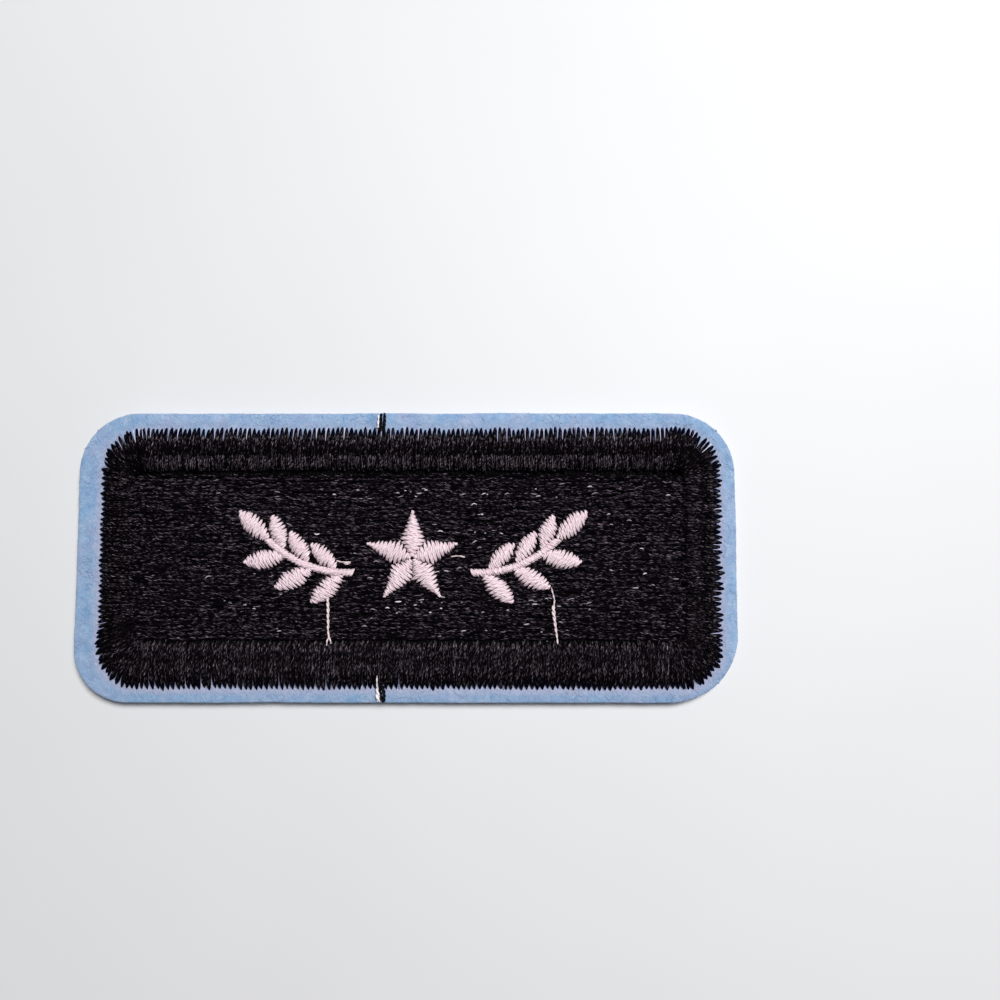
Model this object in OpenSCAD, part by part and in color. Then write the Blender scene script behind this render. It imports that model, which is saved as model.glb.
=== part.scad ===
// Iron-on patch: a felt base with a heat-seal film under it, a stitched black field, a raised satin border
// and a pale satin ornament. It lies flat, with its long side along X and its stitched face up.

/* [Felt base] */
// Length of the felt from end to end
felt_length = 77.1; // [74:0.1:110]
// Width of the felt from its lower to its upper edge
felt_width = 33.8; // [32:0.1:60]
// Thickness of the felt
felt_thickness = 1.4; // [1:0.1:2]
// Corner radius at the upper left
felt_radius_upper_left = 6.9; // [5:0.1:9]
// Corner radius at the upper right
felt_radius_upper_right = 7.2; // [5:0.1:9]
// Corner radius at the lower right
felt_radius_lower_right = 8.0; // [5:0.1:9]
// Corner radius at the lower left
felt_radius_lower_left = 6.4; // [5:0.1:9]

/* [Heat-seal film] */
// Thickness of the adhesive film on the back
film_thickness = 0.2; // [0.1:0.05:0.4]
// How far the film stays inside the felt's edge
film_inset = 0.25; // [0:0.05:1]

/* [Satin border] */
// Length of the border over its outer stitches
border_length = 72.3; // [66:0.1:73]
// Width of the border over its outer stitches
border_width = 30.1; // [28:0.1:31]
// How far the stitching sits right of the felt's centre
stitching_shift_x = 0.45; // [-0.5:0.05:0.5]
// How far the stitching sits above the felt's centre
stitching_shift_y = 0.1; // [-0.3:0.05:0.3]
// Outer corner radius of the border
border_radius = 4.7; // [3:0.1:6]
// Width of the border's upper band
band_top = 5.2; // [3.5:0.1:6]
// Width of the border's lower band
band_bottom = 5.1; // [3.5:0.1:6]
// Width of the border's left band
band_left = 4.2; // [3.5:0.1:6]
// Width of the border's right band
band_right = 4.5; // [3.5:0.1:6]
// Height of the border's crest above the felt
border_height = 0.95; // [0.6:0.05:1.2]

/* [Stitched field] */
// Thickness of the filled field
field_thickness = 0.45; // [0.3:0.05:0.6]

/* [Ornament] */
// Middle of the ornament, right of the felt's centre
ornament_x = 0.85; // [-1:0.05:1]
// Middle of the ornament, above the felt's centre
ornament_y = 0.3; // [-0.5:0.05:0.5]
// Height of the satin above the field
ornament_height = 0.6; // [0.4:0.05:0.8]
// Distance of the star's points from its centre
star_radius = 5.6; // [4:0.1:6]
// Distance of the star's notches from its centre
star_notch_radius = 2.5; // [2:0.1:3]
// Length of the largest leaves
leaf_length = 4.8; // [4:0.1:5]
// Width of the largest leaves
leaf_width = 2.2; // [1.8:0.1:2.3]
// Width of a sprig's stem
stem_width = 0.9; // [0.7:0.1:1.2]

/* [Hidden] */
$fn = 96;

// Each layer lies a hair above the one that carries it.
layer_gap = 0.02;
side_gap = 0.05;
felt_bottom = film_thickness + layer_gap;
felt_top = felt_bottom + felt_thickness;
stitching_base = felt_top + layer_gap;
ornament_base = stitching_base + field_thickness + layer_gap;

// Inner edges of the border, from the middle of the stitching.
inner_left = band_left - border_length / 2;
inner_right = border_length / 2 - band_right;
inner_bottom = band_bottom - border_width / 2;
inner_top = border_width / 2 - band_top;
inner_radius = 0.4;
corner_steps = 8;

// Corners of the border in turn: [side in X, side in Y, angle where its arc starts].
border_corners = [
    [1, 1, 0],
    [-1, 1, 90],
    [-1, -1, 180],
    [1, -1, 270]
];

// Across the border from its outer stitches inwards: [share of the width, share of the crest's height].
// The crest lies near the inner edge, over the margin of the field, and from there it slopes outwards.
border_section = [
    [0.00, 0.20],
    [0.05, 0.45],
    [0.18, 0.64],
    [0.42, 0.80],
    [0.62, 0.94],
    [0.76, 1.00],
    [0.90, 0.94],
    [0.97, 0.70],
    [1.00, 0.35]
];

// Felt corners: [side in X, side in Y, radius].
felt_corners = [
    [1, 1, felt_radius_upper_right],
    [-1, 1, felt_radius_upper_left],
    [-1, -1, felt_radius_lower_left],
    [1, -1, felt_radius_lower_right]
];

// A crowned satin solid is cut from a lying cylinder of this radius, so its sides are lower than its middle.
crown_radius = 3.2;

// The star's five points reach further up than down, so its centre lies below the ornament's middle.
star_drop = 0.5;
// Heights of the star's points and notches, as shares of the ornament's height.
star_tip_share = 0.75;
star_notch_share = 0.4;

// A sprig's stem is an arc that starts low beside the star and climbs outwards.
stem_radius = 13;
stem_center = [7.6, 10.8];
stem_start = -94;
stem_sweep = 50;
stem_height_share = 0.75;
// How far from the stem's middle a leaf is rooted.
leaf_root = 0.3;

// Leaves of a sprig: [share along the stem, side of it (1 is inner), angle from it, share of the full size].
sprig_leaves = [
    [0.12, -1, 42, 1.00],
    [0.20, 1, 42, 0.87],
    [0.43, -1, 42, 1.00],
    [0.50, 1, 40, 0.87],
    [0.74, -1, 40, 1.00],
    [0.80, 1, 38, 0.87],
    [0.98, 0, 0, 1.00]
];

// Outline of the felt, drawn inwards by an inset: its corners' arcs, joined by an eight-sided middle.
module felt_outline(inset) {
    for (corner = felt_corners) {
        radius = corner[2];
        translate([corner[0] * (felt_length / 2 - radius), corner[1] * (felt_width / 2 - radius)])
            circle(radius - inset);
    }
    polygon([
        for (corner = felt_corners)
            let (
                far = [corner[0] * (felt_length / 2 - inset), corner[1] * (felt_width / 2 - inset)],
                near = [corner[0] * (felt_length / 2 - corner[2]), corner[1] * (felt_width / 2 - corner[2])],
                flank = [far[0], near[1]],
                crest = [near[0], far[1]]
            )
            each corner[0] == corner[1] ? [flank, crest] : [crest, flank]
    ]);
}

module adhesive_film() {
    color("whitesmoke")
        linear_extrude(film_thickness)
            felt_outline(film_inset);
}

module felt_base() {
    color("lightsteelblue")
        translate([0, 0, felt_bottom])
            linear_extrude(felt_thickness)
                felt_outline(0);
}

// The field fills the border's opening, and its corners are round as the border's inner corners are.
module stitched_field() {
    corner_radius = inner_radius - side_gap;
    left = inner_left + inner_radius;
    right = inner_right - inner_radius;
    bottom = inner_bottom + inner_radius;
    top = inner_top - inner_radius;
    color([0.09, 0.08, 0.09])
        translate([stitching_shift_x, stitching_shift_y, stitching_base])
            linear_extrude(field_thickness) {
                translate([left - corner_radius, bottom])
                    square([right - left + 2 * corner_radius, top - bottom]);
                translate([left, bottom - corner_radius])
                    square([right - left, top - bottom + 2 * corner_radius]);
                for (x = [left, right], y = [bottom, top])
                    translate([x, y]) circle(corner_radius);
            }
}

// Where a stitch starts on the outer arc of a corner, and where it ends on the inner one.
function outer_point(corner, angle) = [
    corner[0] * (border_length / 2 - border_radius) + border_radius * cos(angle),
    corner[1] * (border_width / 2 - border_radius) + border_radius * sin(angle)
];
function inner_point(corner, angle) = [
    (corner[0] > 0 ? inner_right : inner_left) - corner[0] * inner_radius + inner_radius * cos(angle),
    (corner[1] > 0 ? inner_top : inner_bottom) - corner[1] * inner_radius + inner_radius * sin(angle)
];

// One cross-section of the border between an outer and an inner point: over its crown, then back below.
function border_ring(outer, inner) = concat(
    [for (row = border_section) concat(outer + (inner - outer) * row[0], row[1] * border_height)],
    [[inner[0], inner[1], 0], [outer[0], outer[1], 0]]
);

module satin_border() {
    rings = [
        for (corner = border_corners)
            for (step = [0:corner_steps])
                let (angle = corner[2] + 90 * step / corner_steps)
                    border_ring(outer_point(corner, angle), inner_point(corner, angle))
    ];
    ring_count = len(rings);
    ring_size = len(border_section) + 2;
    points = [for (ring = rings) each ring];
    faces = [
        for (i = [0:ring_count - 1])
            for (j = [0:ring_size - 1])
                let (
                    here = i * ring_size,
                    next = ((i + 1) % ring_count) * ring_size,
                    k = (j + 1) % ring_size
                )
                each [[here + j, here + k, next + j], [here + k, next + k, next + j]]
    ];
    color([0.07, 0.06, 0.07])
        translate([stitching_shift_x, stitching_shift_y, stitching_base])
            polyhedron(points, faces, convexity = 6);
}

// A bar along X with a crowned top, which trims a flat shape to satin that is highest along its middle.
module crown_bar(length) {
    translate([0, 0, ornament_height - crown_radius])
        rotate([0, 90, 0])
            cylinder(r = crown_radius, h = length, center = true);
}

// One satin leaf along X from its root, pointed at both ends.
module leaf(length, width) {
    arc_radius = (length * length + width * width) / (4 * width);
    translate([length / 2, 0, 0])
        intersection() {
            linear_extrude(ornament_height)
                intersection() {
                    translate([0, arc_radius - width / 2]) circle(arc_radius);
                    translate([0, width / 2 - arc_radius]) circle(arc_radius);
                }
            crown_bar(length);
        }
}

// The star: ridges run from its middle to its points, and its notches lie low.
module star_motif() {
    rim_size = 10;
    outline = [
        for (i = [0:rim_size - 1])
            let (radius = i % 2 == 0 ? star_radius : star_notch_radius, angle = 90 + 360 * i / rim_size)
                radius * [cos(angle), sin(angle)]
    ];
    base = [for (p = outline) [p[0], p[1], 0]];
    rim = [
        for (i = [0:rim_size - 1])
            let (share = i % 2 == 0 ? star_tip_share : star_notch_share)
                [outline[i][0], outline[i][1], ornament_height * share]
    ];
    middle_below = 2 * rim_size;
    middle_above = middle_below + 1;
    faces = [
        for (i = [0:rim_size - 1])
            let (k = (i + 1) % rim_size)
                each [
                    [middle_below, i, k],
                    [i, i + rim_size, k],
                    [k, i + rim_size, k + rim_size],
                    [middle_above, k + rim_size, i + rim_size]
                ]
    ];
    color("mistyrose")
        translate([ornament_x, ornament_y - star_drop, ornament_base])
            polyhedron(concat(base, rim, [[0, 0, 0], [0, 0, ornament_height]]), faces, convexity = 4);
}

// The sprig to the right of the star: its stem, and its leaves rooted in the stem.
module sprig() {
    translate(stem_center)
        rotate([0, 0, stem_start])
            rotate_extrude(angle = stem_sweep)
                translate([stem_radius - stem_width / 2, 0])
                    square([stem_width, ornament_height * stem_height_share]);
    for (row = sprig_leaves) {
        angle = stem_start + stem_sweep * row[0];
        translate(stem_center + (stem_radius - row[1] * leaf_root) * [cos(angle), sin(angle)])
            rotate([0, 0, angle + 90 + row[1] * row[2]])
                leaf(leaf_length * row[3], leaf_width * row[3]);
    }
}

module right_sprig() {
    color("mistyrose")
        translate([ornament_x, ornament_y, ornament_base])
            sprig();
}

module left_sprig() {
    color("mistyrose")
        translate([ornament_x, ornament_y, ornament_base])
            mirror([1, 0, 0]) sprig();
}

adhesive_film();
felt_base();
stitched_field();
satin_border();
star_motif();
left_sprig();
right_sprig();
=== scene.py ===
import math

import bmesh
import bpy
import numpy as np
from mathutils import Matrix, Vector, noise


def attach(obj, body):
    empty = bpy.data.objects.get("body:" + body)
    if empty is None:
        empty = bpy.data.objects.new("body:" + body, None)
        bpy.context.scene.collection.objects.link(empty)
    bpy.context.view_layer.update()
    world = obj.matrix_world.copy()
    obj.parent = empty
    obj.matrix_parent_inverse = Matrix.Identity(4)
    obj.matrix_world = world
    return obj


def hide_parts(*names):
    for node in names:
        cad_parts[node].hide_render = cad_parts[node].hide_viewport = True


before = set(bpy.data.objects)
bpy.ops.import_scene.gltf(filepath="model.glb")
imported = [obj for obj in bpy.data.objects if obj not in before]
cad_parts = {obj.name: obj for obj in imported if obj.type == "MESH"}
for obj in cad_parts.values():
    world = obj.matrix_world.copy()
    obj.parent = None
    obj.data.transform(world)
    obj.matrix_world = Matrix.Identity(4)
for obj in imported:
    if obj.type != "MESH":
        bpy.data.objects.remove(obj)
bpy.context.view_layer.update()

# One millimetre in metres. Lengths are in mm where no comment says otherwise, X along the patch, Z up.
MM = 0.001

# Felt: half its size, radii (upper right, upper left, lower left, lower right), and levels.
FELT_HALF = (38.55, 16.9)
FELT_RADII = (7.2, 6.9, 6.4, 8.0)
FELT_BOTTOM = 0.22
FELT_TOP = 1.62

# Felt sheet: outline step, cuts of its long sides, short sides and wall, roundings of its rims, rings inside
# the upper rim, and how its face sinks at the edge.
FELT_STEP = 0.42
FELT_LONG_CUTS = 150
FELT_SHORT_CUTS = 46
FELT_WALL_CUTS = 5
UPPER_ROUNDING = 0.2
LOWER_ROUNDING = 0.08
FELT_RINGS = 14
FELT_RING_WIDTH = 0.3
EDGE_SAG = 0.06
EDGE_SAG_REACH = 0.5

# Fibres tried and kept on the margin, and kept at the cut edge.
NAP_TRIED = 60000
NAP_KEPT = 9000
FUZZ_KEPT = 4200

# Border: middle of the stitching, half its size, corner radius, inner edges from that middle, and base.
STITCHING_MIDDLE = (0.45, 0.1)
BORDER_HALF = (36.15, 15.05)
BORDER_RADIUS = 4.7
INNER_LOW = (-31.95, -9.95)
INNER_HIGH = (31.65, 9.85)
STITCHING_BASE = 1.64

# How far the stitches fan out after each corner's arc; then side along X and Y, angle where the arc starts,
# and how far they fan out before it.
FAN_AFTER = 1.6
BORDER_CORNERS = ((1, 1, 0, 1.6), (-1, 1, 90, 1.6), (-1, -1, 180, 4.6), (1, -1, 270, 1.6))

# Outer needle holes round the border, and by how much they lie closer along the upper side.
BORDER_TEETH = 340
UPPER_CLOSENESS = 0.1

# How far the outer holes lie beyond the edge, and the share of gaps between them that stay open, for the
# upper, lower, left and right side, as in all rows of four; and what a fan adds to that share.
TIP_REACH = (0.02, 0.49, 0.18, 0.32)
OPEN_SHARES = (0.48, 0.06, 0.05, 0.2)
FAN_OPEN_SHARE = 0.16

# Places along a border thread, and its height above the felt there on the upper side and on the others.
HEIGHT_PLACES = (0, 0.03, 0.08, 0.18, 0.32, 0.48, 0.57, 0.61, 0.65, 0.8, 0.92, 1)
UPPER_HEIGHTS = (0.02, 0.14, 0.24, 0.40, 0.58, 0.76, 0.83, 0.84, 0.88, 0.89, 0.78, 0.42)
OTHER_HEIGHTS = (0.02, 0.14, 0.28, 0.58, 0.80, 0.91, 0.93, 0.94, 0.95, 0.94, 0.82, 0.50)

# Distances from the outer hole, and a border thread's half width there beside a closed and an open gap.
TIP_PLACES = (0, 0.08, 0.22, 0.45, 0.8, 1.4)
CLOSED_WIDTHS = (
    (0.03, 0.07, 0.12, 0.185, 0.235, 0.265), (0.015, 0.04, 0.085, 0.165, 0.275, 0.285),
    (0.015, 0.04, 0.09, 0.17, 0.275, 0.275), (0.02, 0.06, 0.12, 0.195, 0.265, 0.275),
)
OPEN_WIDTHS = (
    (0.03, 0.07, 0.112, 0.15, 0.17, 0.205), (0.015, 0.04, 0.085, 0.155, 0.225, 0.25),
    (0.015, 0.04, 0.09, 0.16, 0.23, 0.245), (0.02, 0.06, 0.12, 0.18, 0.23, 0.24),
)

# Places further in, half widths there, and how deep a thread dives from its first point to its last.
REST_PLACES = (0.46, 0.57, 0.61, 0.65, 0.8, 0.92, 1)
REST_WIDTHS = (0.24, 0.23, 0.23, 0.23, 0.24, 0.23, 0.14)
BORDER_DIVE = (0.35, 0.1, 0.02, 0, 0, 0, 0, 0, 0, 0, 0, 0, 0.2)

# A border thread's half height, and how far the two threads of a gap part on their way in.
BORDER_HALF_HEIGHT = 0.1
PARTING = 0.07

# Distances from the outer hole, and how much painted light border threads get there: how many painted glints
# they show, with painted shade where it is low.
LIT_PLACES = (0, 0.7, 1.2, 1.8, 2.3, 2.9, 3.5, 4.1, 4.6, 4.95, 5.2)
LIT_SHARES = (
    (0, 0.3, 1.4, 1, 0.6, 0.4, 0.2, 0.2, 0.2, 0.2, 0.2),
    (0.4, 0.5, 0.5, 1, 1.1, 1.3, 0.7, 0.9, 1, 1.3, 1.5),
    (0.3, 0.5, 0.75, 0.75, 0.5, 0.85, 0.85, 0.75, 0.2, 0.2, 0.2),
    (0.3, 0.6, 1, 1.1, 0.2, 1, 1, 0.9, 0.3, 0.3, 0.3),
)

# Second row along the upper side: share of the way in and length where it starts, fade of its painted light
# (fewer painted glints, more painted shade) at both ends, half height, depth, and a thread's places, dive
# and half widths.
INNER_ROW_START = 0.635
INNER_ROW_LENGTH = 2.8
INNER_ROW_FADE = 3.0
INNER_ROW_HALF_HEIGHT = 0.08
INNER_ROW_DEPTH = 0.04
INNER_ROW_THREAD = np.array([
    (0, 0.06, 0.2, 0.45, 0.7, 0.9, 1), (0.16, 0.03, 0, 0, 0, 0.04, 0.3),
    (0.12, 0.17, 0.2, 0.2, 0.21, 0.2, 0.12),
])

# Felt in an open gap: places, shares of the border's height, half widths; half height, depth, added reach.
TUFT = np.array([
    (0.0, 0.12, 0.26, 0.42, 0.58, 0.75, 0.9, 1.0), (0.0, 0.6, 0.9, 1, 1, 1, 0.97, 0.9),
    (0.09, 0.085, 0.07, 0.06, 0.05, 0.042, 0.03, 0.012),
])
TUFT_HALF_HEIGHT = 0.09
TUFT_DEPTH = 0.07
TUFT_REACH = (0.2, -0.45, 0.0, 0.25)

# Field: corners from the middle of the stitching, row distance, range of stitch lengths, how far rows are
# stepped at most, level and half height of its threads, and a thread's places, heights and half widths.
FIELD_LOW = (INNER_LOW[0] - 0.9, INNER_LOW[1] + 0.45)
FIELD_HIGH = (INNER_HIGH[0] + 0.9, INNER_HIGH[1] - 0.62)
FIELD_ROW_GAP = 0.42
FIELD_LENGTHS = (2.2, 4.4)
FIELD_STAGGER = 3.4
FIELD_LEVEL = 1.965
FIELD_HALF_HEIGHT = 0.105
FIELD_THREAD = np.array([
    (0, 0.04, 0.13, 0.35, 0.65, 0.87, 0.96, 1.0), (-0.2, -0.08, -0.02, 0, 0, -0.02, -0.08, -0.2),
    (0.14, 0.23, 0.29, 0.32, 0.32, 0.29, 0.23, 0.14),
])

# Bobbin specks: number, level, and rows that they gather at.
SPECKS = 120
SPECK_LEVEL = 2.03
SPECK_ROWS = (6.9, 7.3, -4.9, -5.3, -6.4, -1.0, 0.4, 2.2, 4.4, -2.6, -8.2)

# Underlay: inset from the border's edge, bottom, wall height, and width and rise of its ridge's steps.
UNDERLAY_INSET = 1.6
UNDERLAY_BOTTOM = 1.3
UNDERLAY_HEIGHT = 0.5
UNDERLAY_RIDGE = ((0.4, 0.14), (0.5, 0.12), (0.5, 0.04), (0.4, -0.08), (0.4, -0.14), (0.4, -0.13))

# Ornament: middle, base, height, star, stem of the right sprig (angles in degrees) and leaves.
ORNAMENT_MIDDLE = (0.85, 0.3)
ORNAMENT_BASE = 2.11
ORNAMENT_HEIGHT = 0.6
STAR_DROP = 0.5
STAR_RADIUS = 5.6
STAR_NOTCH_RADIUS = 2.5
STAR_HEIGHT_PLACES = (0, 2, STAR_RADIUS)
STAR_HEIGHTS = (0.6, 0.58, 0.45)
STEM_MIDDLE = (7.6, 10.8)
STEM_RADIUS = 13.0
STEM_START = -94.0
STEM_SWEEP = 50.0
STEM_WIDTH = 0.9
STEM_HEIGHT = 0.45
LEAF_LENGTH = 4.8
LEAF_WIDTH = 2.2
LEAF_ROOT = 0.3

# Leaves of a sprig: share along the stem, side of it (1 is inner), angle from it, share of the full size.
SPRIG_LEAVES = (
    (0.12, -1, 42, 1.00), (0.20, 1, 42, 0.87), (0.43, -1, 42, 1.00), (0.50, 1, 40, 0.87),
    (0.74, -1, 40, 1.00), (0.80, 1, 38, 0.87), (0.98, 0, 0, 1.00),
)

# Satin: distance and half height of its threads, and a thread's places, shares of height and half widths.
SATIN_STEP = 0.23
SATIN_HALF_HEIGHT = 0.08
SATIN_THREAD = np.array([
    (0, 0.06, 0.16, 0.36, 0.64, 0.84, 0.94, 1.0), (-0.16, 0.12, 0.55, 0.95, 0.95, 0.55, 0.12, -0.16),
    (0.03, 0.08, 0.14, 0.17, 0.17, 0.14, 0.08, 0.03),
])

# Camera: focal length, place in metres, turn in degrees. Light: place and size in metres, power in watts.
CAMERA_LENS = 30.6
CAMERA_PLACE = (0.01158, -0.00046, 0.1008)
CAMERA_TURN = (4.065, 0.342, 0.0)
KEY_PLACE = (0.17, 0.2, 0.49)
KEY_SIZE = 0.2
KEY_POWER = 3.82


# Shader graph helpers

def operator(operation, swapped=False):
    """A method of Shade that adds one Math node."""
    def combine(self, other):
        return self.math(operation, *((other, self) if swapped else (self, other)))
    return combine


class Shade:
    """A shader socket that takes part in sums, each of which adds a Math node."""

    def __init__(self, finish, socket):
        self.finish = finish
        self.socket = socket

    def math(self, operation, *values):
        return self.finish.node("ShaderNodeMath", dict(enumerate(values)), operation=operation)

    def wave(self):
        """From 0 to 1 and back in each unit of the value: the size of a sine."""
        half_turns = self * math.pi
        swing = half_turns.math("SINE", half_turns)
        return swing.math("ABSOLUTE", swing)

    __add__ = __radd__ = operator("ADD")
    __sub__ = operator("SUBTRACT")
    __rsub__ = operator("SUBTRACT", swapped=True)
    __mul__ = __rmul__ = operator("MULTIPLY")
    __truediv__ = operator("DIVIDE")
    __pow__ = operator("POWER")


class Finish:
    """A material whose nodes are all added through one method."""

    def __init__(self, name):
        self.material = bpy.data.materials.new(name)
        self.material.use_nodes = True
        self.tree = self.material.node_tree
        self.tree.nodes.clear()

    def node(self, kind, inputs=(), output=0, **settings):
        made = self.tree.nodes.new(kind)
        for name, value in settings.items():
            if name == "stops":
                set_stops(made.color_ramp, value)
            else:
                setattr(made, name, value)
        for name, value in dict(inputs).items():
            if isinstance(value, Shade):
                self.tree.links.new(value.socket, made.inputs[name])
            else:
                made.inputs[name].default_value = value
        return Shade(self, made.outputs[output]) if made.outputs else made

    def surface(self, inputs):
        shader = self.node("ShaderNodeBsdfPrincipled", inputs)
        self.node("ShaderNodeOutputMaterial", {"Surface": shader})
        return self.material

    def object_place(self):
        return self.node("ShaderNodeTexCoord", output="Object")

    def thread_place(self):
        """The length along a thread in mm, and the share of a turn round it."""
        uv = self.node("ShaderNodeUVMap", uv_map="thread")
        return self.axis(uv, "X"), self.axis(uv, "Y")

    def axis(self, vector, name):
        return self.node("ShaderNodeSeparateXYZ", {0: vector}, name)

    def vector(self, x, y, z):
        return self.node("ShaderNodeCombineXYZ", {0: x, 1: y, 2: z})

    def attribute(self, name):
        return self.node("ShaderNodeAttribute", output="Fac", attribute_name=name)

    def noise(self, place, scale, detail, roughness=0.5, distortion=0.0):
        return self.node("ShaderNodeTexNoise", {
            "Vector": place, "Scale": scale, "Detail": detail, "Roughness": roughness,
            "Distortion": distortion,
        })

    def mix(self, share, first, second):
        return self.node("ShaderNodeMix", {0: share, 6: first, 7: second}, 2, data_type="RGBA")

    def ramp(self, value, stops):
        return self.node("ShaderNodeValToRGB", {0: value}, stops=stops)

    def between(self, value, low, high):
        """A share from 0 to 1 as the value goes from low to high."""
        return self.node("ShaderNodeMapRange", {0: value, 1: low, 2: high})

    def bump(self, height):
        """A normal turned by a height in mm."""
        return self.node("ShaderNodeBump", {"Height": height, "Distance": MM, "Strength": 1.0})


def set_stops(ramp, stops):
    while len(ramp.elements) < len(stops):
        ramp.elements.new(1.0)
    for element, (place, colour) in zip(ramp.elements, stops):
        element.position = place
        element.color = colour


def tone(red, green, blue):
    """A colour from screen values, 0 to 255."""
    share = [value / 255 for value in (red, green, blue)]
    return [v / 12.92 if v <= 0.04045 else ((v + 0.055) / 1.055) ** 2.4 for v in share] + [1.0]


# Materials

def thread_finish(name, groove, crown, painted_glint_colour, tips, roughness, gloss, lay, ply_depth, glint_rate, drift,
                  tip_run=(-2.0, -1.0)):
    """Two-ply thread with short painted glints along its filaments and painted shade between its plies. Its
    tips' colour, a painted shade, fades over tip_run.
    """
    finish = Finish(name)
    place = finish.object_place()
    along, around = finish.thread_place()
    lot, lit = finish.attribute("lot"), finish.attribute("lit")
    wander = finish.noise(place, 900, 1)
    wear = finish.noise(place, 1800, 2, 0.6)
    ply = (around * 2 + along * (0.8 + lot * 0.45) / lay + wander * 1.2 + lot * 7).wave()
    slanted = around * 2 + along * (lot * 0.8 - 0.2) + wander * drift
    filaments = finish.noise(finish.vector(along * glint_rate, slanted * 10.5, lot * 50), 1, 1)
    fine = finish.between(filaments, 0.3, 0.7)
    # Painted shade: the groove colour darkens each thread between its plies and wherever its painted light
    # share is low; the noise and lot terms are random tone.
    shade = (ply ** 0.6 * 0.45 + fine * 0.5 + lot * 0.1 + wear * 0.3 - 0.3) * finish.between(lit, 0.0, 0.9)
    # Painted shade at the tips: the tips' colour lies where the threads dive into the felt.
    past_tip = finish.between(along, *tip_run)
    # Painted glints: a light colour mixed into the base colour near each thread's top, standing in for
    # highlights.
    crest = (around * 2 + (wear - 0.5) * 1.1).wave() ** 2
    painted_glint = finish.between(filaments + lot * 0.1 + lit * 0.1, 0.72, 0.94) * crest
    thread_colour = finish.mix(past_tip, tips, finish.mix(shade, groove, crown))
    return finish.surface({
        "Base Color": finish.mix(painted_glint, thread_colour, painted_glint_colour),
        "Roughness": roughness + filaments * 0.15 + wear * 0.1 + (1.0 - past_tip) * 0.4,
        "Specular IOR Level": gloss,
        "Specular Tint": (1.0, 0.88, 0.98, 1.0),
        "Normal": finish.bump(ply * ply_depth + filaments * 0.04),
    })


def strand_finish(name, groove, crown, roughness, gloss):
    """A strand whose plies are modelled, with fine filaments along it."""
    finish = Finish(name)
    along, around = finish.thread_place()
    filaments = finish.noise(finish.vector(along * 1.6, around * 14, along * 0.3), 1, 2, 0.6)
    return finish.surface({
        "Base Color": finish.mix(filaments, groove, crown),
        "Roughness": roughness + filaments * 0.2,
        "Specular IOR Level": gloss,
        "Normal": finish.bump(filaments * 0.03),
    })


def felt_finish():
    """Light blue felt clouded with lilac and paler blue, with dark flecks, and lilac by the stitching."""
    finish = Finish("felt")
    place = finish.object_place()
    clouds = finish.noise(place, 300, 3, 0.6)
    patches = finish.noise(place, 640, 2, 0.55)
    tufts = finish.noise(place, 1500, 4, 0.65, 1.2)
    hairs = finish.noise(place, 5200, 3, 0.7, 2.5)
    cloud_colour = finish.ramp(clouds, [
        (0.38, tone(139, 178, 215)), (0.47, tone(153, 185, 220)),
        (0.56, tone(160, 184, 218)), (0.66, tone(172, 185, 218)),
    ])
    paler = finish.mix((patches - 0.42) * 2.6, cloud_colour, tone(184, 206, 230))
    near = finish.attribute("near_stitching")
    by_stitches = finish.mix(near ** 1.5 * 0.9, paler, tone(186, 187, 210))
    shade = (0.70 - tufts * 0.45 - hairs * 0.62) * 2
    return finish.surface({
        "Base Color": finish.mix(shade, by_stitches, tone(96, 128, 172)),
        "Roughness": 0.85 + hairs * 0.15,
        "Specular IOR Level": 0.2,
        "Sheen Weight": 0.15,
        "Sheen Roughness": 0.5,
        "Normal": finish.bump(tufts * 0.16 + hairs * 0.07),
    })


def fibre_finish(name, stops, grain_colour):
    """Loose fibres, each of one colour along its length."""
    finish = Finish(name)
    colour = finish.ramp(finish.attribute("lot"), stops)
    grain = finish.noise(finish.object_place(), 4000, 2)
    return finish.surface({
        "Base Color": finish.mix(grain * 0.4, colour, grain_colour),
        "Roughness": 0.75 + grain * 0.2,
        "Specular IOR Level": 0.3,
        "Sheen Weight": 0.2,
        "Normal": finish.bump(grain * 0.01),
    })


def underlay_finish(name, groove, crown):
    """Foundation stitching, seen in gaps between the threads that cover it."""
    finish = Finish(name)
    place = finish.object_place()
    wander = finish.noise(place, 600, 2)
    grain = finish.noise(place, 5000, 2)
    ribs = (finish.axis(place, "X") * 2600.0 + wander * 2.5).wave()
    return finish.surface({
        "Base Color": finish.mix(ribs * 0.7 + grain * 0.3, groove, crown),
        "Roughness": 0.55 + grain * 0.3,
        "Specular IOR Level": 0.06,
        "Normal": finish.bump(ribs * 0.08 + grain * 0.02),
    })


def film_finish():
    """Dull heat-seal film: milky, with the imprint of the cloth that it was pressed on."""
    finish = Finish("heat_seal_film")
    place = finish.object_place()
    cells = finish.node("ShaderNodeTexVoronoi", {"Vector": place, "Scale": 1400.0}, feature="SMOOTH_F1")
    haze = finish.noise(place, 260, 3)
    grain = finish.noise(place, 3000, 3)
    return finish.surface({
        "Base Color": finish.mix(haze * 0.8 + cells * 0.3, tone(214, 219, 224), tone(236, 236, 232)),
        "Roughness": 0.34 + grain * 0.25,
        "Normal": finish.bump(cells * 0.05 + grain * 0.02),
    })


def speck_finish():
    """Bits of pale bobbin thread, from grey to near white."""
    finish = Finish("bobbin_thread")
    colour = finish.ramp(finish.attribute("lot"), [
        (0.0, tone(92, 88, 97)), (0.5, tone(152, 146, 157)), (1.0, tone(228, 222, 230)),
    ])
    grain = finish.noise(finish.object_place(), 3500, 2)
    return finish.surface({
        "Base Color": finish.mix(grain * 0.3, colour, tone(190, 188, 198)),
        "Roughness": 0.45 + grain * 0.2,
        "Normal": finish.bump(grain * 0.02),
    })


# Shapes in the plane

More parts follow.
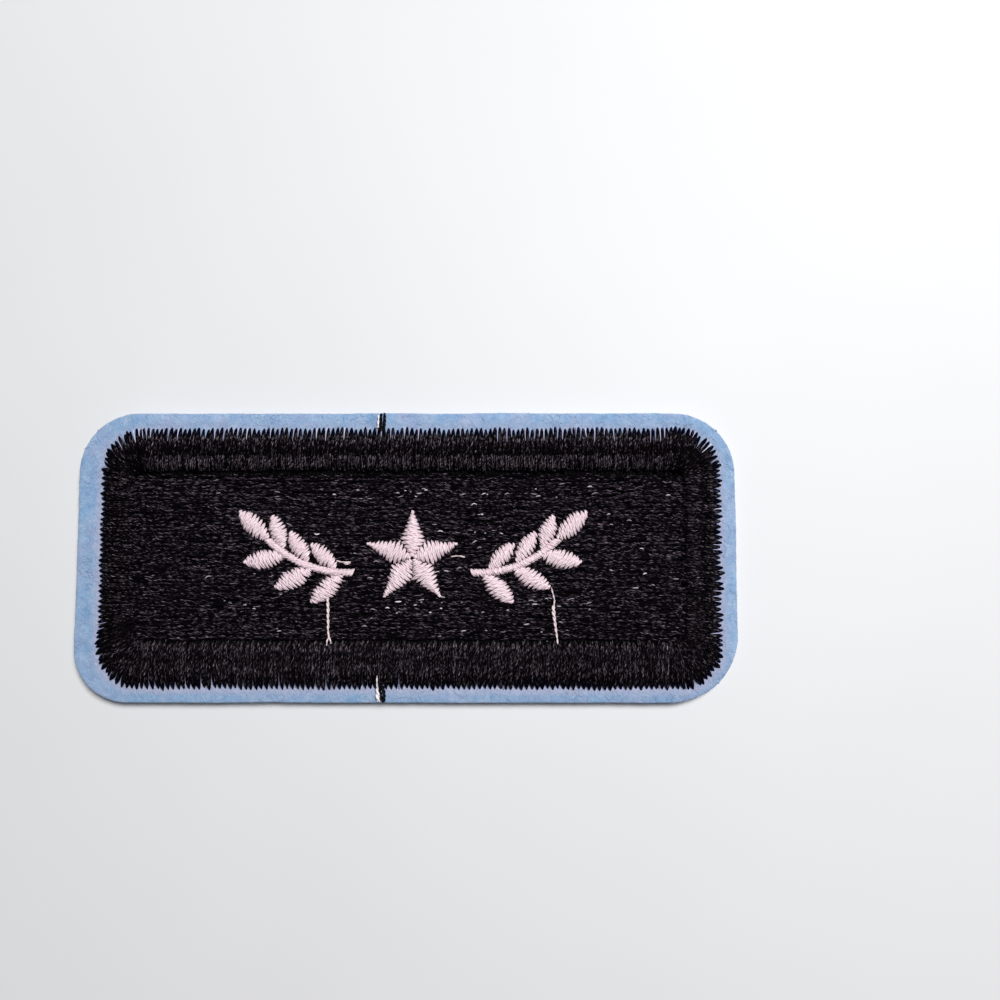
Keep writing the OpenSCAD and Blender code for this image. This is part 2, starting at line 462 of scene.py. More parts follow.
def rounded_distance(places, middle, half, radii):
    """How far outside a rectangle with round corners each place lies, negative inside."""
    dx, dy = places[..., 0] - middle[0], places[..., 1] - middle[1]
    upper = np.where(dx > 0, radii[0], radii[1])
    lower = np.where(dx > 0, radii[3], radii[2])
    radius = np.where(dy > 0, upper, lower)
    qx, qy = np.abs(dx) - half[0] + radius, np.abs(dy) - half[1] + radius
    return np.hypot(np.maximum(qx, 0), np.maximum(qy, 0)) + np.minimum(np.maximum(qx, qy), 0) - radius


def felt_distance(places):
    return rounded_distance(places, (0.0, 0.0), FELT_HALF, FELT_RADII)


def border_distance(places):
    return rounded_distance(places, STITCHING_MIDDLE, BORDER_HALF, (BORDER_RADIUS,) * 4)


def ripple(points, size, seed):
    """Smooth noise from -1 to 1, with waves of about that size."""
    shift = Vector((seed * 7.3, seed * 3.1, seed * 1.7))
    return np.array([noise.noise(Vector(p) / size + shift) for p in points])


def direction(angle):
    return np.stack([np.cos(angle), np.sin(angle)], axis=-1)


def span_of(vectors):
    return np.linalg.norm(vectors, axis=-1, keepdims=True)


def unit(vectors):
    return vectors / np.maximum(span_of(vectors), 1e-6)


def left_of(ahead):
    return np.stack([-ahead[..., 1], ahead[..., 0]], axis=-1)


def running_length(points):
    """The length up to each point of a line, or of each of several lines."""
    steps = span_of(np.diff(points, axis=-2))[..., 0]
    return np.concatenate([np.zeros((*steps.shape[:-1], 1)), np.cumsum(steps, axis=-1)], axis=-1)


def laid_out(start, chord, travel, aside=0.0):
    """Level paths from each start: points at shares of its chord, moved aside to its left."""
    shape = (len(start), np.shape(travel)[-1])
    travel, aside = (np.broadcast_to(values, shape)[..., None] for values in (travel, aside))
    places = start[:, None] + chord[:, None] * travel + left_of(unit(chord))[:, None] * aside
    return np.dstack([places, np.zeros(shape)])


# Threads as joined meshes

def sew(name, paths, half_width, half_height, lots, sides=6, first_length=0.0, lit=1.0):
    """Makes one mesh of closed thread tubes from their paths, shaped (threads, rings, 3).

    A thread's lot sets it off from its neighbours and also adds to its painted glints; its painted light
    share says how many painted glints it shows at each ring, and paints shade where it is low.
    """
    count, rings, _ = paths.shape
    along = np.gradient(paths, axis=1)
    across = np.dstack([-left_of(unit(along[..., :2])), np.zeros((count, rings))])
    lift = np.cross(across, unit(along))
    turn = 2 * math.pi * (np.arange(sides) + 0.5) / sides
    points = paths[:, :, None]
    for way, half, share in ((across, half_width, np.cos(turn)), (lift, half_height, np.sin(turn))):
        half = np.broadcast_to(half, (count, rings))[..., None, None]
        points = points + way[:, :, None] * share[:, None] * half

    # Each ring is joined to the next, and the first and last are closed.
    corners = np.arange(count * rings * sides).reshape(count, rings, sides)
    here, beside = corners[:, :-1], np.roll(corners, -1, axis=2)[:, :-1]
    quads = np.stack([here, here + sides, beside + sides, beside], axis=-1).reshape(-1, 4)
    faces = quads.tolist() + corners[:, 0].tolist() + corners[:, -1, ::-1].tolist()

    length = np.repeat((running_length(paths) + first_length)[..., None], sides, axis=2)
    low, high = length[:, :-1], length[:, 1:]
    v = np.broadcast_to(np.arange(sides) / sides, low.shape)
    quad_uv = np.stack([low, v, high, v, high, v + 1 / sides, low, v + 1 / sides], axis=-1)
    start_uv = np.stack([length[:, 0], v[:, 0]], axis=-1)
    end_uv = np.stack([length[:, -1], v[:, 0, ::-1]], axis=-1)
    uv = np.concatenate([part.ravel() for part in (quad_uv, start_uv, end_uv)])

    mesh = bpy.data.meshes.new(name)
    mesh.from_pydata((points * MM).reshape(-1, 3).tolist(), [], faces)
    mesh.uv_layers.new(name="thread").data.foreach_set("uv", uv.astype(np.float32))
    mark(mesh, "lot", np.repeat(lots, rings * sides))
    mark(mesh, "lit", np.repeat(np.broadcast_to(lit, (count, rings)), sides))
    mesh.shade_smooth()
    return add_object(name, mesh)


def add_object(name, data):
    piece = bpy.data.objects.new(name, data)
    bpy.context.scene.collection.objects.link(piece)
    return piece


def dress(piece, material):
    piece.data.materials.clear()
    piece.data.materials.append(material)


def mark(mesh, name, values):
    """Stores a value for each vertex."""
    mesh.attributes.new(name, "FLOAT", "POINT").data.foreach_set("value", np.asarray(values, np.float32))


def drawn_lots(seed, count):
    return np.random.default_rng(seed).random(count)


def plied(name, lines, ply_radius, lay):
    """Makes one mesh of two-ply strands. Each line is points of x, y, z and thickness share."""
    strands, widths = [], []
    for number, line in enumerate(lines):
        line = np.array(line)
        length = running_length(line[:, :3])
        fine = np.linspace(0.0, length[-1], 64)
        center = np.stack([np.interp(fine, length, line[:, axis]) for axis in range(4)], axis=-1)
        for _ in range(3):
            center[1:-1] = (center[:-2] + 2 * center[1:-1] + center[2:]) / 4
        radius = ply_radius * center[:, 3]
        center = center[:, :3]
        along = unit(np.gradient(center, axis=0))
        across = unit(np.cross(along, [0.0, 0.0, 1.0]))
        lift = np.cross(across, along)
        for ply in (0, 1):
            angle = 2 * math.pi * fine / lay + math.pi * ply + number * 1.3
            offset = across * np.cos(angle)[:, None] + lift * np.sin(angle)[:, None]
            strands.append(center + offset * radius[:, None] * 0.85)
            widths.append(radius)
    widths = np.array(widths)
    return sew(name, np.array(strands), widths, widths, drawn_lots(5, len(strands)), sides=8)


# Edit-mode helpers for the pieces modelled as by hand

def add_plane(name, middle, half, level):
    """A plane of that size, left in edit mode."""
    bpy.ops.object.select_all(action="DESELECT")
    bpy.ops.mesh.primitive_plane_add(size=MM, location=(middle[0] * MM, middle[1] * MM, level * MM))
    piece = bpy.context.object
    piece.name = piece.data.name = name
    piece.scale = (2 * half[0], 2 * half[1], 1.0)
    bpy.ops.object.transform_apply(location=True, rotation=True, scale=True)
    bpy.ops.object.mode_set(mode="EDIT")
    return piece


def pick(kind, test):
    """Selects what is in edit mode and passes a test on its middle in mm and the item itself."""
    bpy.ops.mesh.select_mode(type=kind)
    bpy.ops.mesh.select_all(action="DESELECT")
    mesh = bmesh.from_edit_mesh(bpy.context.object.data)
    for item in {"VERT": mesh.verts, "EDGE": mesh.edges, "FACE": mesh.faces}[kind]:
        corners = [item] if kind == "VERT" else item.verts
        middle = sum((corner.co for corner in corners), Vector()) / len(corners)
        if test(middle / MM, item):
            item.select_set(True)
    mesh.select_flush_mode()
    bmesh.update_edit_mesh(bpy.context.object.data)


def divide(axis, length, cuts):
    """Divides the edges that reach further than a length along an axis, 0 for X, 1 for Y and 2 for Z."""
    pick("EDGE", lambda place, item: abs(item.verts[1].co[axis] - item.verts[0].co[axis]) > length * MM)
    bpy.ops.mesh.subdivide(number_cuts=cuts)


def round_rim(level, width, segments):
    pick("EDGE", lambda place, item: abs(place.z - level) < 0.01 and len(item.link_faces) == 2)
    bpy.ops.mesh.bevel(offset=width * MM, segments=segments, affect="EDGES")


def pick_top(level):
    pick("FACE", lambda place, item: abs(place.z - level) < 0.01 and item.normal.z > 0.9
         and len(item.verts) > 20)


def round_corners(middle, half, radii, step):
    """Rounds the corners of the plane in edit mode, with cuts about a step apart."""
    signs = ((1, 1), (-1, 1), (-1, -1), (1, -1))
    for (side_x, side_y), radius in zip(signs, radii):
        corner = Vector((middle[0] + side_x * half[0], middle[1] + side_y * half[1]))
        pick("VERT", lambda place, item: (place.xy - corner).length < 0.1)
        cuts = max(3, round(math.pi / 2 * radius / step))
        bpy.ops.mesh.bevel(offset=radius * MM, segments=cuts, affect="VERTICES")


def raise_all(height):
    bpy.ops.mesh.select_all(action="SELECT")
    bpy.ops.mesh.extrude_region_move(TRANSFORM_OT_translate={"value": (0, 0, height * MM)})


def step_in(width, rise):
    """Insets the picked face and lifts or lowers it."""
    bpy.ops.mesh.inset(thickness=width * MM, depth=rise * MM)


# Felt

def felt_sheet():
    """A round-cornered sheet with a soft rim, pressed down where it is stitched over."""
    piece = add_plane("felt_sheet", (0.0, 0.0), FELT_HALF, FELT_BOTTOM)
    round_corners((0.0, 0.0), FELT_HALF, FELT_RADII, FELT_STEP)
    bpy.ops.mesh.select_all(action="SELECT")
    bpy.ops.mesh.delete(type="ONLY_FACE")
    divide(0, 30, FELT_LONG_CUTS)
    divide(1, 10, FELT_SHORT_CUTS)
    bpy.ops.mesh.select_all(action="SELECT")
    bpy.ops.mesh.edge_face_add()
    raise_all(FELT_TOP - FELT_BOTTOM)
    divide(2, 1, FELT_WALL_CUTS)
    round_rim(FELT_TOP, UPPER_ROUNDING, 3)
    round_rim(FELT_BOTTOM, LOWER_ROUNDING, 1)
    pick_top(FELT_TOP)
    for _ in range(FELT_RINGS):
        step_in(FELT_RING_WIDTH, 0.0)
    bpy.ops.object.mode_set(mode="OBJECT")
    shape_felt(piece)
    piece.data.shade_smooth()
    return piece


def shape_felt(piece):
    """Presses the felt down under the stitches, wears its edge, and marks how near it lies to them."""
    points = np.zeros(len(piece.data.vertices) * 3)
    piece.data.vertices.foreach_get("co", points)
    points = points.reshape(-1, 3) / MM
    outside, beyond = felt_distance(points), border_distance(points)
    height = np.clip((points[:, 2] - FELT_BOTTOM) / (FELT_TOP - FELT_BOTTOM), 0, 1)
    pressed = swell(beyond) - 0.25 * np.clip((-1.5 - beyond) / 0.6, 0, 1)
    fuzz = 0.035 * ripple(points, 0.5, 3) + 0.04 * ripple(points, 2.4, 4)
    points[:, 2] += height ** 2 * (pressed - edge_sag(outside) + fuzz)
    cut = 0.05 * ripple(points * [1, 1, 2.2], 0.5, 5) + 0.08 * ripple(points * [1, 1, 0], 7.0, 6)
    points[:, :2] += edge_slope(points) * ((cut - 0.05) * np.clip(1 + outside, 0, 1))[:, None]
    piece.data.vertices.foreach_set("co", (points * MM).ravel())
    piece.data.update()
    near = np.clip(1.15 - beyond_stitches(points) / 0.7, 0, 1) * lilac_share(points)
    mark(piece.data, "near_stitching", near)


def swell(beyond):
    """The felt's rise just outside the border, where the stitches push it up."""
    return 0.07 * np.exp(-((beyond - 0.7) / 0.5) ** 2)


def edge_sag(outside):
    """The felt's sag towards its cut edge."""
    return EDGE_SAG * np.exp(outside / EDGE_SAG_REACH)


def edge_slope(spots):
    """How fast the distance from the felt grows along X and along Y."""
    small = 0.01
    steps = np.array([(small, 0.0), (0.0, small)])
    grown = [felt_distance(spots[:, :2] + step) - felt_distance(spots[:, :2] - step) for step in steps]
    return np.stack(grown, axis=-1) / (2 * small)


def beyond_stitches(spots):
    """How far spots lie beyond the outer stitches, which reach furthest along the lower side."""
    lower = np.clip(-spots[:, 1] / BORDER_HALF[1], 0, 1) ** 4
    return border_distance(spots) - 0.15 - 0.33 * lower


def lilac_share(spots):
    """How strong the lilac by the stitches is: least along the upper side."""
    return 1 - 0.5 * np.clip(spots[:, 1] / BORDER_HALF[1], 0, 1) ** 4


def fibre_paths(rng, starts, headings, lengths, rise, rings=4, bending=0.2):
    """Short bent fibres from their starts, headings, lengths and the rise of their middles."""
    arch = np.sin(math.pi * np.linspace(0, 1, rings))
    bend = rng.normal(0, bending, len(starts)) * lengths
    travel = lengths[:, None] * np.linspace(0, 1, rings)
    paths = laid_out(starts[:, :2], direction(headings), travel, bend[:, None] * arch)
    paths[..., 2] = starts[:, 2:] + rise[:, None] * arch
    return paths


def felt_nap():
    """Fibres that lie on the felt's margin and run in among the outer stitches."""
    rng = np.random.default_rng(11)
    spots = rng.uniform(-1, 1, (NAP_TRIED, 2)) * FELT_HALF
    spots = spots[(felt_distance(spots) < -0.12) & (border_distance(spots) > -0.7)][:NAP_KEPT]
    count = len(spots)
    starts = np.column_stack([spots, FELT_TOP + swell(border_distance(spots)) - 0.02])
    lengths = rng.uniform(0.3, 0.9, count)
    headings = rng.uniform(0, 2 * math.pi, count)
    paths = fibre_paths(rng, starts, headings, lengths, rng.uniform(0.0, 0.05, count))
    paths[..., 2] -= edge_sag(felt_distance(paths))
    thick = rng.uniform(0.009, 0.016, count)[:, None] * np.array([0.7, 1.0, 1.0, 0.6])
    on_felt = felt_distance(paths).max(axis=1) < 0.06
    by_stitches = beyond_stitches(spots) < rng.uniform(0.0, 0.7, count) * lilac_share(spots)
    lots = np.where(by_stitches, rng.uniform(0.86, 1.0, count), 0.9 * rng.random(count))
    return sew("felt_nap", paths[on_felt], thick[on_felt], thick[on_felt], lots[on_felt], sides=3)


def felt_edge_fuzz():
    """Fibres that stand out of the cut edge all round."""
    rng = np.random.default_rng(21)
    spots = direction(rng.uniform(0, 2 * math.pi, FUZZ_KEPT * 3)) * 60
    spots = np.clip(spots + rng.uniform(-40, 40, spots.shape), -np.array(FELT_HALF), FELT_HALF)
    for _ in range(6):
        spots = spots - unit(edge_slope(spots)) * felt_distance(spots)[:, None]
    spots = spots[np.abs(felt_distance(spots)) < 0.02][:FUZZ_KEPT]
    count = len(spots)
    outward = unit(edge_slope(spots))
    spots = spots - outward * rng.uniform(0.12, 0.25, count)[:, None]
    starts = np.column_stack([spots, rng.uniform(FELT_BOTTOM + 0.08, FELT_TOP - 0.05, count)])
    heading = np.arctan2(outward[:, 1], outward[:, 0]) + rng.normal(0, 0.95, count)
    lengths = rng.uniform(0.12, 0.28, count)
    paths = fibre_paths(rng, starts, heading, lengths, rng.normal(0, 0.03, count))
    paths[..., 2] += np.linspace(0, 1, 4) * rng.normal(0, 0.08, count)[:, None]
    thick = rng.uniform(0.01, 0.018, count)[:, None] * np.array([1.0, 1.0, 0.8, 0.4])
    return sew("felt_edge_fuzz", paths, thick, thick, drawn_lots(22, count), sides=3)


# Border

def border_rails():
    """Matched points round the border's outer and inner edges, and the length along the outer one."""
    outer, inner = [], []
    for side_x, side_y, start, fan_before in BORDER_CORNERS:
        middle = (np.array(BORDER_HALF) - BORDER_RADIUS) * (side_x, side_y)
        outward = direction(np.radians(np.linspace(start, start + 90, 40)))
        arc = middle + BORDER_RADIUS * outward
        ahead = left_of(outward)
        line = np.vstack([arc[0] - fan_before * ahead[0], arc, arc[-1] + FAN_AFTER * ahead[-1]])
        length = running_length(line)
        share = (length / length[-1])[:, None]
        first, corner, last = np.clip([line[0], middle * 2, line[-1]], INNER_LOW, INNER_HIGH)
        outer.append(line)
        inner.append((1 - share) ** 2 * first + 2 * share * (1 - share) * corner + share ** 2 * last)
    outer, inner = np.vstack(outer + [outer[0][:1]]), np.vstack(inner + [inner[0][:1]])
    return outer + STITCHING_MIDDLE, inner + STITCHING_MIDDLE, running_length(outer)


def along_rail(rail, length, places):
    places = np.mod(places, length[-1])
    return np.stack([np.interp(places, length, rail[:, axis]) for axis in range(2)], axis=-1)


def facing(ahead):
    """Shares by which stitches heading inwards belong to the upper, lower, left and right side."""
    x, y = ahead[:, 0], ahead[:, 1]
    return np.clip(np.stack([-y, y, x, -x], axis=-1), 0, 1) ** 2


def fanned_share(ahead, least):
    """How far stitches belong to a corner's fan, from the least slant on that makes them one."""
    return np.clip((np.abs(ahead).min(axis=1) - least) / 0.2, 0, 1)


def border_holes():
    """Outer and inner needle holes in order, and which gaps between two outer ones stay open."""
    rng = np.random.default_rng(31)
    outer_rail, inner_rail, length = border_rails()
    on_top = outer_rail[1:, 1] > STITCHING_MIDDLE[1] + BORDER_HALF[1] - 1.0
    turns = np.concatenate([[0.0], np.cumsum(np.diff(length) * (1 + UPPER_CLOSENESS * on_top))])
    turns *= BORDER_TEETH / turns[-1]
    order = np.arange(BORDER_TEETH)
    holes = np.interp(order + rng.normal(0, 0.05, BORDER_TEETH), turns, length)
    inner_order = np.mod(order + 0.5 + rng.normal(0, 0.08, BORDER_TEETH), BORDER_TEETH)
    outer = along_rail(outer_rail, length, holes)
    inner = along_rail(inner_rail, length, np.interp(inner_order, turns, length))
    away = unit(outer - along_rail(inner_rail, length, holes))
    sides = facing(-away)
    pull = sides @ TIP_REACH + rng.normal(0, 0.075, BORDER_TEETH) * (1 + 0.6 * sides[:, 3])
    outer = outer + away * pull[:, None]
    inner = inner + away * rng.normal(0, 0.09, (BORDER_TEETH, 1))
    fanned = fanned_share(away, 0.1)
    open_gaps = rng.random(BORDER_TEETH) < sides @ OPEN_SHARES + FAN_OPEN_SHARE * fanned
    outer = outer + left_of(away) * (rng.normal(0, 0.09, BORDER_TEETH) * fanned)[:, None]
    return outer, inner, open_gaps


def border_ways():
    """Starts and chords of the border's threads, their side of the gap (1 or -1), and whose gap is open."""
    outer, inner, open_gaps = border_holes()
    start = np.vstack([outer, np.roll(outer, -1, axis=0)])
    side = np.repeat([1, -1], len(outer))[:, None]
    return start, np.vstack([inner, inner]) - start, side, np.concatenate([open_gaps, open_gaps])[:, None]


def border_level(travel, sides, share=1.0):
    """Level of the border's face, or of a share of its height, at shares of the way in."""
    upper = np.interp(travel, HEIGHT_PLACES, UPPER_HEIGHTS)
    other = np.interp(travel, HEIGHT_PLACES, OTHER_HEIGHTS)
    upright = (sides[:, 0:1] + sides[:, 1:2]) ** 0.5
    height = (upper * sides[:, 0:1] + other * (1 - sides[:, 0:1])) * (0.76 + 0.24 * upright)
    return STITCHING_BASE + height * share


def border_stitches():
    """Satin threads across the border, to and fro between its outer and inner needle holes."""
    rng = np.random.default_rng(33)
    start, chord, side, is_open = border_ways()
    count = len(start)
    span = span_of(chord)
    sides = facing(chord / span)

    # In the fans at the corners, every second thread is a short stitch that ends part of the way in.
    fanned = fanned_share(chord / span, 0.12)[:, None]
    reach = 1 - fanned * (side > 0) * rng.uniform(0.2, 0.45, (count, 1))
    lying = sides[:, 2:3] + sides[:, 3:]
    reach *= 1 + rng.normal(0, 0.02, (count, 1)) + rng.uniform(-0.06, 0.04, (count, 1)) * lying
    tip = np.array(TIP_PLACES) * np.minimum(1, span * reach / 3.2) / (span * reach)
    share = np.hstack([tip, np.broadcast_to(REST_PLACES, (count, len(REST_PLACES)))])
    travel = share * reach
    arch = np.sin(math.pi * share)
    level = border_level(travel, sides) - BORDER_HALF_HEIGHT - BORDER_DIVE
    level += rng.normal(0, 0.02, (count, 1)) + 0.02 * side * arch
    paths = laid_out(start, chord, travel, rng.normal(0, 0.03, (count, 1)) * arch + PARTING * side * share)
    paths[..., 2] = level

    near_tip = np.where(is_open, sides @ OPEN_WIDTHS, sides @ CLOSED_WIDTHS)
    near_tip *= 1 + rng.normal(0, 0.06, near_tip.shape)
    width = np.hstack([near_tip, REST_WIDTHS * (1 + 0.08 * side)])
    width *= 1 + rng.normal(0, 0.05, (count, 1)) + 0.1 * fanned
    # Painted light along each thread: lighter or darker by distance from the outer hole, standing in for how
    # light falls on the border's slopes.
    lit = sum(sides[:, n:n + 1] * np.interp(travel * span, LIT_PLACES, LIT_SHARES[n]) for n in range(4))
    # Lower lots in the corner fans give fewer painted glints there: painted shade at the corners.
    lots = rng.uniform(0.25, 0.85, count) * (1 - 0.45 * fanned[:, 0])
    return sew("border_stitches", paths, width, np.minimum(width, BORDER_HALF_HEIGHT), lots, lit=lit)


def upper_inner_stitches():
    """A second, shorter row of satin over the upper band's inner part; its ends make a line along it."""
    rng = np.random.default_rng(37)
    start, chord, side, _ = border_ways()
    span = span_of(chord)
    chord = chord + PARTING * side * left_of(chord) / span
    sides = facing(chord / span)
    upper = sides[:, 0] > 0.9
    start, chord, sides = start[upper], chord[upper], sides[upper]
    count = len(start)
    share, dive, half_width = INNER_ROW_THREAD
    first = INNER_ROW_START + rng.normal(0, 0.016, (count, 1))
    travel = first + (1 - first) * share
    paths = laid_out(start, chord, travel)
    paths[..., 2] = border_level(travel, sides) - INNER_ROW_DEPTH - dive + rng.normal(0, 0.02, (count, 1))
    width = half_width * (1 + rng.normal(0, 0.06, (count, 1)))
    from_end = np.minimum(start[:, :1] - start[:, 0].min(), start[:, 0].max() - start[:, :1])
    # The painted light fades towards the row's ends: painted shade near the corners.
    lit = np.clip(0.35 + 0.65 * from_end / INNER_ROW_FADE, 0, 1)
    # High lots give this row more painted glints: painted light on the band's flat inner part.
    lots = rng.uniform(0.6, 0.9, count)
    return sew("upper_inner_stitches", paths, width, INNER_ROW_HALF_HEIGHT, lots,
               first_length=INNER_ROW_LENGTH, lit=lit)


def felt_tufts():
    """Felt pushed up in the gaps that stay open between the border's outer stitches."""
    rng = np.random.default_rng(35)
    outer, inner, open_gaps = border_holes()
    start = (outer + np.roll(outer, -1, axis=0))[open_gaps] / 2
    chord = inner[open_gaps] - start
    span = span_of(chord)
    sides = facing(chord / span)
    count = len(start)
    share, height_share, half_width = TUFT
    reach = rng.uniform(0.7, 1.6, count) * (1 + sides @ TUFT_REACH)
    travel = 0.015 + share * reach[:, None] / span
    drift = rng.normal(0, 0.05, count) + rng.normal(0, 0.12, count) * sides[:, 3]
    paths = laid_out(start, chord, travel, drift[:, None] * share ** 2)
    paths[..., 2] = border_level(travel, sides, height_share) - TUFT_DEPTH
    width = half_width * rng.uniform(0.75, 1.15, (count, 1))
    return sew("felt_tufts", paths, width, TUFT_HALF_HEIGHT, drawn_lots(36, count))


# Field

def field_stitches():
    """Rows of fill stitches along X, their needle holes stepped from row to row."""
    rng = np.random.default_rng(41)
    low, high = np.add(STITCHING_MIDDLE, FIELD_LOW), np.add(STITCHING_MIDDLE, FIELD_HIGH)
    rows = round((high[1] - low[1]) / FIELD_ROW_GAP) + 1
    ends = []
    for row, y in enumerate(np.linspace(low[1], high[1], rows)):
        x = low[0] + FIELD_STAGGER * ((row * 0.382) % 1.0 - 1)
        while x < high[0]:
            step = rng.uniform(*FIELD_LENGTHS)
            first, last = max(x - 0.1, low[0]), min(x + step + 0.1, high[0])
            if last - first > 0.8:
                ends.append((first, y + rng.normal(0, 0.095), last, y + rng.normal(0, 0.095)))
            x += step
    ends = np.array(ends)
    count = len(ends)
    share, arch, half_width = FIELD_THREAD
    paths = laid_out(ends[:, :2], ends[:, 2:] - ends[:, :2], share)
    flat = paths.reshape(-1, 3)
    flat[:, 1] += 0.16 * ripple(flat * [0.45, 1, 0], 1.6, 42)
    flat[:, 1] += 0.14 * ripple(flat * [1, 1, 0], 0.6, 44)
    paths[..., 2] = FIELD_LEVEL + arch + rng.normal(0, 0.025, (count, 1))
    width = half_width * (1 + rng.normal(0, 0.1, (count, 1)))
    # The row next to the upper border gets less painted light: a painted shadow of the border.
    lit = np.where(ends[:, 1:2] > high[1] - FIELD_ROW_GAP / 2, 0.6, 1.0)
    return sew("field_stitches", paths, width, FIELD_HALF_HEIGHT, 0.2 + 0.4 * rng.random(count), lit=lit)


def bobbin_specks():
    """Bits of the pale bobbin thread that show between the rows of the field."""
    rng = np.random.default_rng(51)
    x = rng.triangular(-30, 14, 31.5, SPECKS)
    y = rng.choice(SPECK_ROWS, SPECKS) + rng.normal(0, 0.5, SPECKS)
    lengths = rng.uniform(0.15, 0.8, SPECKS)
    starts = np.column_stack([x, y, np.full(SPECKS, SPECK_LEVEL)])
    heading = rng.normal(0.05, 0.18, SPECKS)
    paths = fibre_paths(rng, starts, heading, lengths, rng.uniform(0.04, 0.08, SPECKS), rings=6, bending=0.1)
    paths[..., 1] += 0.08 * lengths[:, None] * np.sin(math.pi * np.linspace(0, 1, 6))
    thick = rng.uniform(0.04, 0.1, SPECKS)[:, None] * np.array([0.4, 0.85, 1.0, 1.0, 0.85, 0.4])
    return sew("bobbin_specks", paths, thick, np.minimum(thick, 0.06), rng.random(SPECKS))


def underlay():
    """Foundation stitching under the field and the border, with a ridge under the border."""
    half = np.subtract(BORDER_HALF, UNDERLAY_INSET)
    piece = add_plane("underlay", STITCHING_MIDDLE, half, UNDERLAY_BOTTOM)
    round_corners(STITCHING_MIDDLE, half, (BORDER_RADIUS - UNDERLAY_INSET,) * 4, 0.5)
    raise_all(UNDERLAY_HEIGHT)
    pick_top(UNDERLAY_BOTTOM + UNDERLAY_HEIGHT)
    for width, rise in UNDERLAY_RIDGE:
        step_in(width, rise)
    bpy.ops.object.mode_set(mode="OBJECT")
    piece.data.shade_smooth()
    return piece


# Ornament

def zigzag(places, rng):
    """Places of each thread's two ends where neighbours meet in turn on one edge and the other."""
    step = np.where(np.arange(len(places)) % 2, 0.3, -0.3) * SATIN_STEP
    left = places + step + rng.normal(0, 0.035, len(places))
    right = places - step + rng.normal(0, 0.035, len(places))
    return left, right


def satin_paths(left, right, heights, rng):
    """Satin threads between matched points of two edges, high in the middle and sunk at their ends."""
    share, crown, _ = SATIN_THREAD
    paths = laid_out(left, right - left, share)
    paths[..., 2] = ORNAMENT_BASE + crown * (heights[:, None] - SATIN_HALF_HEIGHT)
    paths[..., 2] += rng.normal(0, 0.012, (len(left), 1))
    return paths


def satin_across(low, high, half_width, over, heights, degrees, middle, rng):
    """Satin across a form along X, its ends just over the outline, then turned and moved."""
    over = np.abs(rng.normal(over, 0.06, (2, len(low))))
    left = turned(np.column_stack([low, -half_width(low) - over[0]]), degrees, middle)
    right = turned(np.column_stack([high, half_width(high) + over[1]]), degrees, middle)
    return satin_paths(left, right, heights, rng)


def turned(points, degrees, middle):
    ahead = direction(math.radians(degrees))
    return points @ np.array([ahead, left_of(ahead)]) + middle


def sew_satin(name, groups, mirror, rng, seed):
    """Joins groups of satin threads in the ornament's frame and puts them at its place."""
    paths = np.concatenate(groups)
    if mirror:
        paths[..., 0] *= -1
    paths[..., :2] += ORNAMENT_MIDDLE
    width = SATIN_THREAD[2] * (1 + rng.normal(0, 0.05, (len(paths), 1)))
    return sew(name, paths, width, np.minimum(width, SATIN_HALF_HEIGHT), drawn_lots(seed, len(paths)))


def leaf_half_width(x, length, width):
    radius = (length ** 2 + width ** 2) / (4 * width)
    return np.sqrt(np.maximum(radius ** 2 - (x - length / 2) ** 2, 0)) - (radius - width / 2)


def stem_paths(rng):
    """Satin of the right sprig's stem, sewn slantwise across its arc."""
    arc_length = math.radians(STEM_SWEEP) * STEM_RADIUS
    low, high = zigzag(np.arange(0.1, arc_length, SATIN_STEP), rng)
    slant = 0.35
    ends = []
    for along, side in ((low - slant, -1), (high + slant, 1)):
        angle = np.radians(STEM_START) + np.clip(along, 0, arc_length) / STEM_RADIUS
        ends.append(STEM_MIDDLE + (STEM_RADIUS + side * STEM_WIDTH / 2) * direction(angle))
    return satin_paths(ends[0], ends[1], np.full(len(low), STEM_HEIGHT), rng)


def leaf_paths(share, side, lean, size, rng):
    """Satin of one leaf of the right sprig, sewn slantwise across it."""
    length, width = LEAF_LENGTH * size, LEAF_WIDTH * size
    places = np.arange(0.25, length - 0.12, SATIN_STEP)
    low, high = zigzag(places, rng)
    half = leaf_half_width(places, length, width)
    low, high = np.clip([low - 0.45 * half, high + 0.45 * half], 0.02, length - 0.02)
    heights = ORNAMENT_HEIGHT * (0.45 + 0.5 * np.clip(half / (width / 2), 0, 1))
    angle = STEM_START + STEM_SWEEP * share
    root = STEM_MIDDLE + (STEM_RADIUS - side * LEAF_ROOT) * direction(math.radians(angle))
    return satin_across(low, high, lambda x: leaf_half_width(x, length, width), 0.04, heights,
                        angle + 90 + side * lean, root, rng)


def sprig_stitches(name, mirror, seed):
    """Satin of one sprig: its stem, then its leaves. The left sprig is mirrored."""
    rng = np.random.default_rng(seed)
    groups = [stem_paths(rng)] + [leaf_paths(*leaf, rng) for leaf in SPRIG_LEAVES]
    return sew_satin(name, groups, mirror, rng, seed + 1)


def star_half_width(x):
    """Half the width of one of the star's rays at a distance from its centre."""
    notch, side = STAR_NOTCH_RADIUS * direction(math.radians(36))
    return np.where(x < notch, x * side / notch, (STAR_RADIUS - x) * side / (STAR_RADIUS - notch))


def star_stitches():
    """Satin of the star: each of its five rays is sewn across, from the middle to the point."""
    rng = np.random.default_rng(71)
    places = np.arange(0.35, STAR_RADIUS - 0.1, SATIN_STEP)
    heights = np.interp(places, STAR_HEIGHT_PLACES, STAR_HEIGHTS)
    middle = (0.0, -STAR_DROP)
    groups = [
        satin_across(*zigzag(places, rng), star_half_width, 0.05, heights, 90 + 72 * ray, middle, rng)
        for ray in range(5)
    ]
    return sew_satin("star_stitches", groups, False, rng, 72)


# Loose threads

